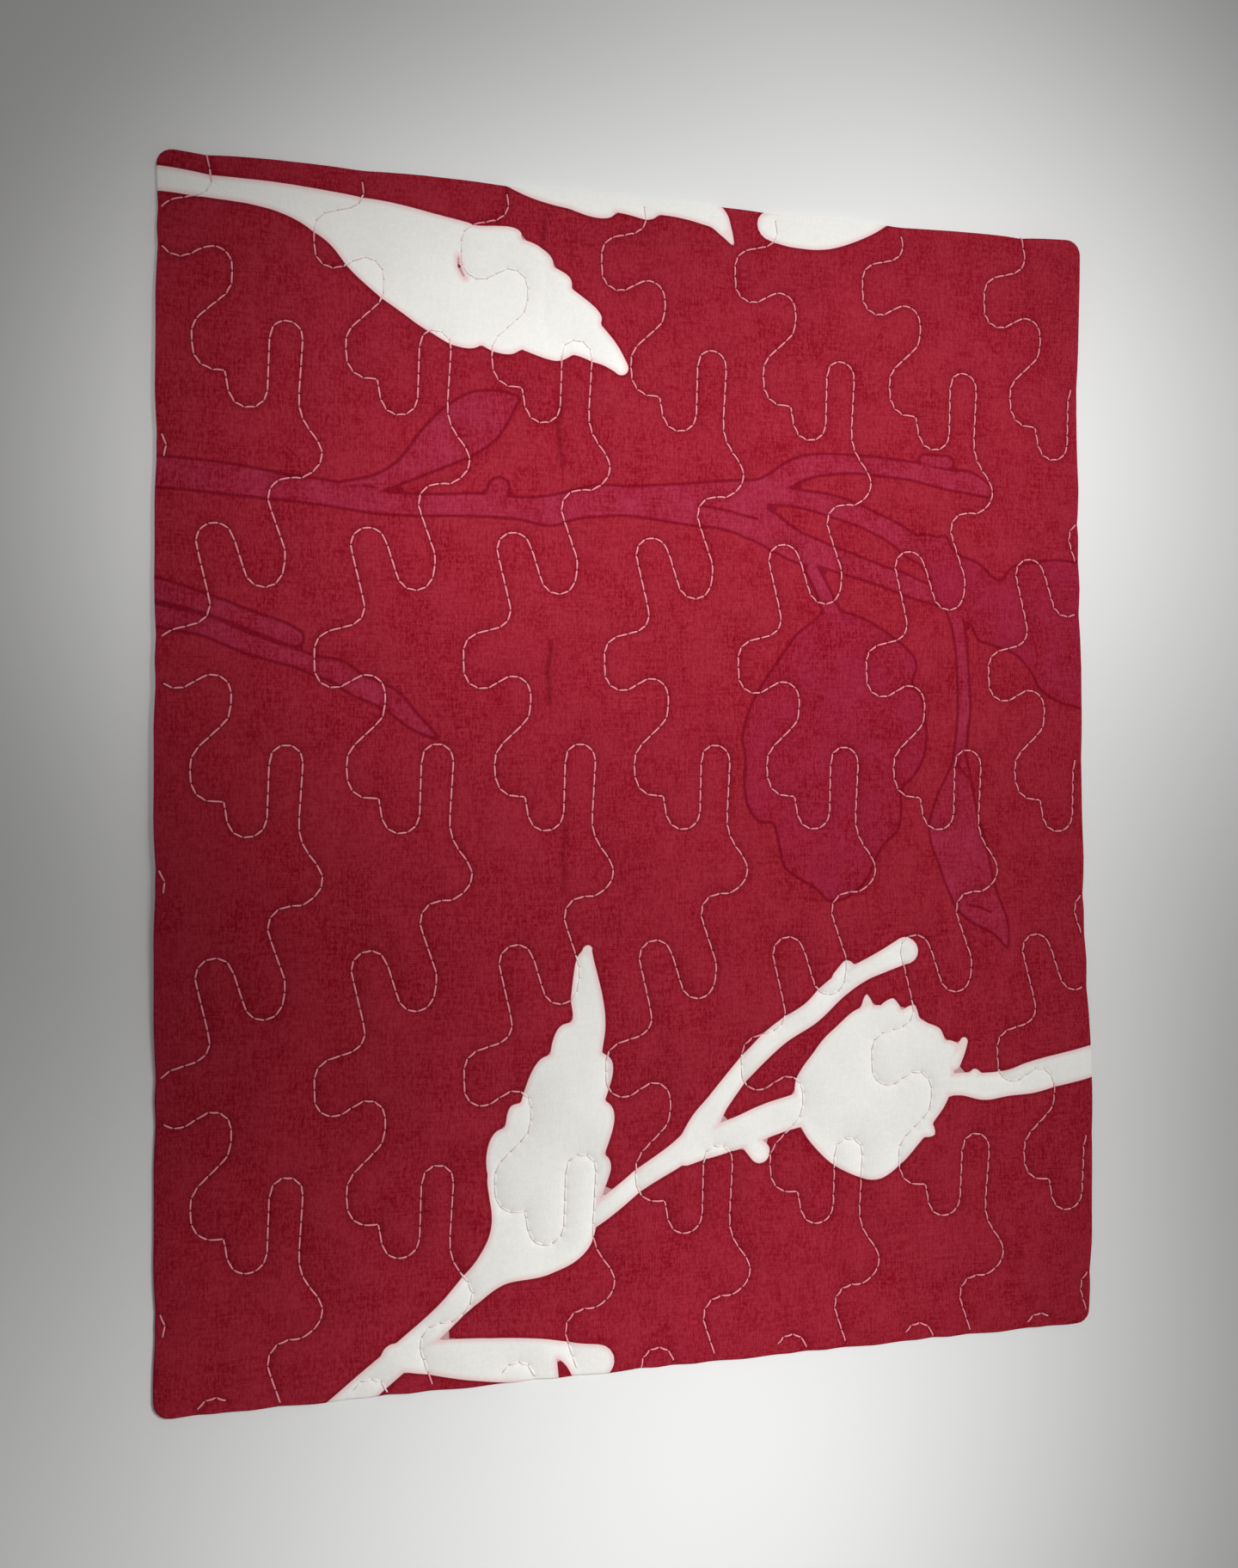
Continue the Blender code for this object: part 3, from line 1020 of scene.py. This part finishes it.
# Other soft steps: two values, and the share of a colour at each
YARN_STEP = (0.74, 1.26, 0.0, 1.0)
CLOUD_STEP = (0.3, 0.7, 0.0, 0.35)
PATCH_STEP = (0.3, 0.7, 0.5, 1.0)
GHOST_STEP = (0.4, -0.4, 0.0, 1.0)
WHITE_STEP = (0.22, -0.22, 0.0, 1.0)
PINK_STEP = (-3.4, -0.2, 0.0, 0.7)
GREY_STEP = (0.75, 1.25, 0.10, 0.0)
HOLE_SHADOW_STEP = (0.75, 0.2, 0.0, 0.8)
THREAD_STEP = (1.5, -1.5, 0.0, 1.0)
PLY_STEP = (0.5, 0.0, 0.0, 0.6)
RED_EVEN = 0.25

# Noise in the cotton, in cycles for each metre along X, Y and Z
YARN_GRAIN = (1000, 480, 600)
YARN_SLUBS = ((1500, 90, 300), (90, 1500, 300))
SLUB_SHARE = 0.5
CLOUDS = (55, 48, 50)

# Weave and relief. A wave texture runs through one cycle in pi / 10 of its
# scaled coordinate. A bump is its height in metres and its strength
WAVE_CYCLE = math.pi / 10
WEAVE_PITCH = 0.00042
WEAVE_WANDER = 0.6
PLIES = 2
WEAVE_BUMP = (0.00008, 0.5)
YARN_BUMP = (0.00015, 0.4)
PLY_BUMP = (0.00008, 0.6)


class Shader:
    """A material's node tree, with short calls for the nodes used here."""

    MIX_FACTOR, MIX_FIRST, MIX_SECOND, MIX_RESULT = 0, 6, 7, 2

    def __init__(self, name, roughness, sheen):
        self.material = bpy.data.materials.new(name)
        self.material.use_nodes = True
        self.tree = self.material.node_tree
        self.surface = self.tree.nodes["Principled BSDF"]
        self.surface.inputs["Roughness"].default_value = roughness
        self.surface.inputs["Specular IOR Level"].default_value = 0.0
        self.surface.inputs["Sheen Weight"].default_value = sheen
        self.surface.inputs["Sheen Roughness"].default_value = 0.5

    def node(self, kind, **settings):
        """A new node with its settings."""
        node = self.tree.nodes.new(kind)
        for name, value in settings.items():
            setattr(node, name, value)
        return node

    def put(self, socket, value):
        """Give a socket a colour, a number or another node's output."""
        if isinstance(value, bpy.types.NodeSocket):
            self.tree.links.new(value, socket)
        elif isinstance(value, tuple) and len(value) == 3 and socket.type == "RGBA":
            socket.default_value = (*value, 1.0)
        else:
            socket.default_value = value

    def colour(self, value):
        """Use a colour for the surface."""
        self.put(self.surface.inputs["Base Color"], value)

    def relief(self, value):
        """Use a normal for the surface."""
        self.put(self.surface.inputs["Normal"], value)

    def attribute(self, name):
        """Numbers that a piece keeps at its points."""
        return self.node("ShaderNodeAttribute", attribute_name=name).outputs["Fac"]

    def place(self, scale):
        """Position on the piece in metres, times a scale along each axis."""
        mapping = self.node("ShaderNodeMapping")
        self.put(mapping.inputs["Vector"], self.node("ShaderNodeTexCoord").outputs["Object"])
        mapping.inputs["Scale"].default_value = scale
        return mapping.outputs["Vector"]

    def noise(self, scale, detail=2.0):
        """Soft noise with so many cycles a metre along each axis."""
        texture = self.node("ShaderNodeTexNoise")
        self.put(texture.inputs["Vector"], self.place(scale))
        texture.inputs["Scale"].default_value = 1.0
        texture.inputs["Detail"].default_value = detail
        return texture.outputs["Fac"]

    def ramp(self, value, low, high, to_low, to_high):
        """Soft step from to_low at low to to_high at high."""
        step = self.node("ShaderNodeMapRange", interpolation_type="SMOOTHSTEP")
        self.put(step.inputs["Value"], value)
        names = ("From Min", "From Max", "To Min", "To Max")
        for name, number in zip(names, (low, high, to_low, to_high)):
            step.inputs[name].default_value = number
        return step.outputs["Result"]

    def math(self, operation, first, second):
        """A sum, product or the like of two values."""
        node = self.node("ShaderNodeMath", operation=operation)
        self.put(node.inputs[0], first)
        self.put(node.inputs[1], second)
        return node.outputs[0]

    def mix(self, factor, first, second, blend="MIX"):
        """The first colour with a share of the second in it or laid over it."""
        node = self.node("ShaderNodeMix", data_type="RGBA", blend_type=blend)
        self.put(node.inputs[self.MIX_FACTOR], factor)
        self.put(node.inputs[self.MIX_FIRST], first)
        self.put(node.inputs[self.MIX_SECOND], second)
        return node.outputs[self.MIX_RESULT]

    def bump(self, height, distance, strength, before=None):
        """A normal with fine relief in it, on top of an earlier one."""
        node = self.node("ShaderNodeBump")
        self.put(node.inputs["Height"], height)
        node.inputs["Distance"].default_value = distance
        node.inputs["Strength"].default_value = strength
        if before:
            self.put(node.inputs["Normal"], before)
        return node.outputs["Normal"]


def yarn_noise(shader):
    """Uneven yarn: fine grain, with slubs along and across the cloth."""
    yarn = shader.noise(YARN_GRAIN)
    for scale in YARN_SLUBS:
        slubs = shader.noise(scale, detail=1.0)
        yarn = shader.math("ADD", yarn, shader.math("MULTIPLY", slubs, SLUB_SHARE))
    return yarn


def red_ground(shader, yarn, white):
    """Red cotton with the second print in it, and painted shade beside the sewing and in the creases."""
    clouds = shader.noise(CLOUDS, detail=3.0)
    red = shader.mix(shader.ramp(yarn, *YARN_STEP), RED_DARK, RED_LIGHT)
    red = shader.mix(RED_EVEN, red, RED)
    red = shader.mix(shader.ramp(clouds, *CLOUD_STEP), red, RED_LIGHT)
    ghost = shader.attribute("ghost")
    patches = shader.ramp(clouds, *PATCH_STEP)
    in_ghost = shader.math("MULTIPLY", shader.ramp(ghost, *GHOST_STEP), patches)
    in_head = shader.ramp(shader.attribute("head"), *GHOST_STEP)
    tint = shader.mix(in_head, GHOST_TINT, HEAD_TINT)
    red = shader.mix(in_ghost, red, tint, "MULTIPLY")
    off_edge = shader.math("ABSOLUTE", ghost, 0.0)
    places = {
        "edge": shader.math("MINIMUM", off_edge, shader.attribute("vein")),
        "gap": shader.attribute("gap"),
        "crease": shader.attribute("crease"),
        "white": white,
    }
    # Print edges, painted shade at the sewing and in the creases, and the dark rim round the white print
    for name, begins, full, share, colour in RED_SHADES:
        red = shader.mix(shader.ramp(places[name], begins, full, 0.0, share), red, colour)
    return red


def white_ground(shader, yarn, white):
    """The white print, pink at its edge and a little grey between its yarns."""
    pale = shader.mix(shader.ramp(white, *PINK_STEP), PRINT_WHITE, PRINT_PINK)
    return shader.mix(shader.ramp(yarn, *GREY_STEP), pale, PRINT_GREY)


def plain_weave(shader):
    """Crossed yarns, high where both waves are."""
    waves = []
    for direction in ("X", "Y"):
        wave = shader.node("ShaderNodeTexWave", bands_direction=direction, wave_profile="SIN")
        shader.put(wave.inputs["Vector"], shader.place((1, 1, 1)))
        wave.inputs["Scale"].default_value = WAVE_CYCLE / WEAVE_PITCH
        wave.inputs["Distortion"].default_value = WEAVE_WANDER
        wave.inputs["Detail Scale"].default_value = 2.0
        waves.append(wave.outputs["Fac"])
    return shader.math("MULTIPLY", *waves)


def cotton_material():
    """Red cotton with a darker second leaf print and a white one over it."""
    shader = Shader("red_cotton_cloth", roughness=0.9, sheen=0.0)
    white = shader.attribute("white")
    yarn = yarn_noise(shader)
    in_white = shader.ramp(white, *WHITE_STEP)
    in_hole_shadow = shader.ramp(shader.attribute("hole"), *HOLE_SHADOW_STEP)
    red = red_ground(shader, yarn, white)
    cloth = shader.mix(in_white, red, white_ground(shader, yarn, white))
    # Painted shadow in the needle holes
    hole = shader.mix(in_white, HOLE_SHADOW_RED, HOLE_SHADOW_GREY)
    shader.colour(shader.mix(in_hole_shadow, cloth, hole))
    normal = shader.bump(plain_weave(shader), *WEAVE_BUMP)
    shader.relief(shader.bump(yarn, *YARN_BUMP, before=normal))
    return shader.material


def thread_material():
    """Pale two-ply thread, its twist drawn from the strand's own coordinates."""
    shader = Shader("pale_sewing_thread", roughness=0.6, sheen=0.2)
    wave = shader.node("ShaderNodeTexWave", bands_direction="DIAGONAL", wave_profile="SIN")
    coordinates = shader.node("ShaderNodeUVMap", uv_map="twist")
    shader.put(wave.inputs["Vector"], coordinates.outputs["UV"])
    wave.inputs["Scale"].default_value = WAVE_CYCLE * PLIES
    ply = wave.outputs["Fac"]
    on_white = shader.ramp(shader.attribute("white"), *THREAD_STEP)
    pale = shader.mix(on_white, THREAD_PINK, THREAD_WHITE)
    shader.colour(shader.mix(shader.ramp(ply, *PLY_STEP), pale, THREAD_SHADE, "MULTIPLY"))
    shader.relief(shader.bump(ply, *PLY_BUMP))
    return shader.material


# Floor, light and camera

CAMERA_PLACE = (-0.1947, -0.0215, 0.712)
CAMERA_TURN = (1.5, -13.7, -0.34)
CAMERA_LENS = 31.09
LAMPS = (
    # name, place, aim, watts, cone in degrees, softness
    ("key", (0.38, 0.44, 1.20), (0.125, 0.168, 0.0), 67.0, 32.3, 0.22),
    ("low_key", (0.50, 0.10, 1.05), (-0.012, -0.420, 0.0), 68.0, 33.3, 0.22),
    ("left_key", (-0.30, 0.50, 1.15), (-0.117, 0.135, 0.0), 40.0, 17.0, 0.15),
)
ROOM_COLOUR = (1.0, 0.99, 0.98, 1.0)
ROOM_STRENGTH = 0.21
FLOOR_SIZE = 6.0
FLOOR_TONES = ((0.86, 0.86, 0.86), (0.90, 0.90, 0.89))
FLOOR_CLOUDS = (3, 3, 3)


def make_floor():
    """A plain pale floor under the cloth."""
    bpy.ops.mesh.primitive_plane_add(size=FLOOR_SIZE, location=(0, 0, 0))
    floor = bpy.context.object
    floor.name = "floor"
    shader = Shader("pale_floor", roughness=0.9, sheen=0.0)
    shader.colour(shader.mix(shader.noise(FLOOR_CLOUDS, detail=4.0), *FLOOR_TONES))
    floor.data.materials.append(shader.material)


def add_lamp(name, place, aim, watts, cone, softness):
    """A soft lamp that looks at one place."""
    light = bpy.data.lights.new(name, "SPOT")
    light.energy = watts
    light.spot_size = math.radians(cone)
    light.spot_blend = 1.0
    light.shadow_soft_size = softness
    lamp = bpy.data.objects.new(name, light)
    lamp.location = place
    lamp.rotation_euler = (Vector(aim) - Vector(place)).to_track_quat("-Z", "Y").to_euler()
    bpy.context.scene.collection.objects.link(lamp)


def make_light():
    """The lamps, and a soft even light from all round."""
    for row in LAMPS:
        add_lamp(*row)
    world = bpy.data.worlds.new("soft_room")
    world.use_nodes = True
    background = world.node_tree.nodes["Background"]
    background.inputs["Color"].default_value = ROOM_COLOUR
    background.inputs["Strength"].default_value = ROOM_STRENGTH
    bpy.context.scene.world = world
    bpy.context.scene.view_settings.view_transform = "Standard"


def make_camera():
    """A camera that looks down on the cloth, where the photo was taken from."""
    data = bpy.data.cameras.new("camera")
    data.lens = CAMERA_LENS
    camera = bpy.data.objects.new("camera", data)
    camera.location = CAMERA_PLACE
    camera.rotation_euler = [math.radians(angle) for angle in CAMERA_TURN]
    bpy.context.scene.collection.objects.link(camera)
    bpy.context.scene.camera = camera


def main():
    make_camera()
    make_light()
    make_floor()
    stitches = make_stitches()
    sewing = Sewing(stitches)
    cloth = make_cloth(stitches, sewing)
    cloth.data.materials.append(cotton_material())
    thread = make_thread(stitches, sewing)
    thread.data.materials.append(thread_material())
    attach(cloth, "root")
    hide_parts("quilt")
    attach(thread, "root")


main()
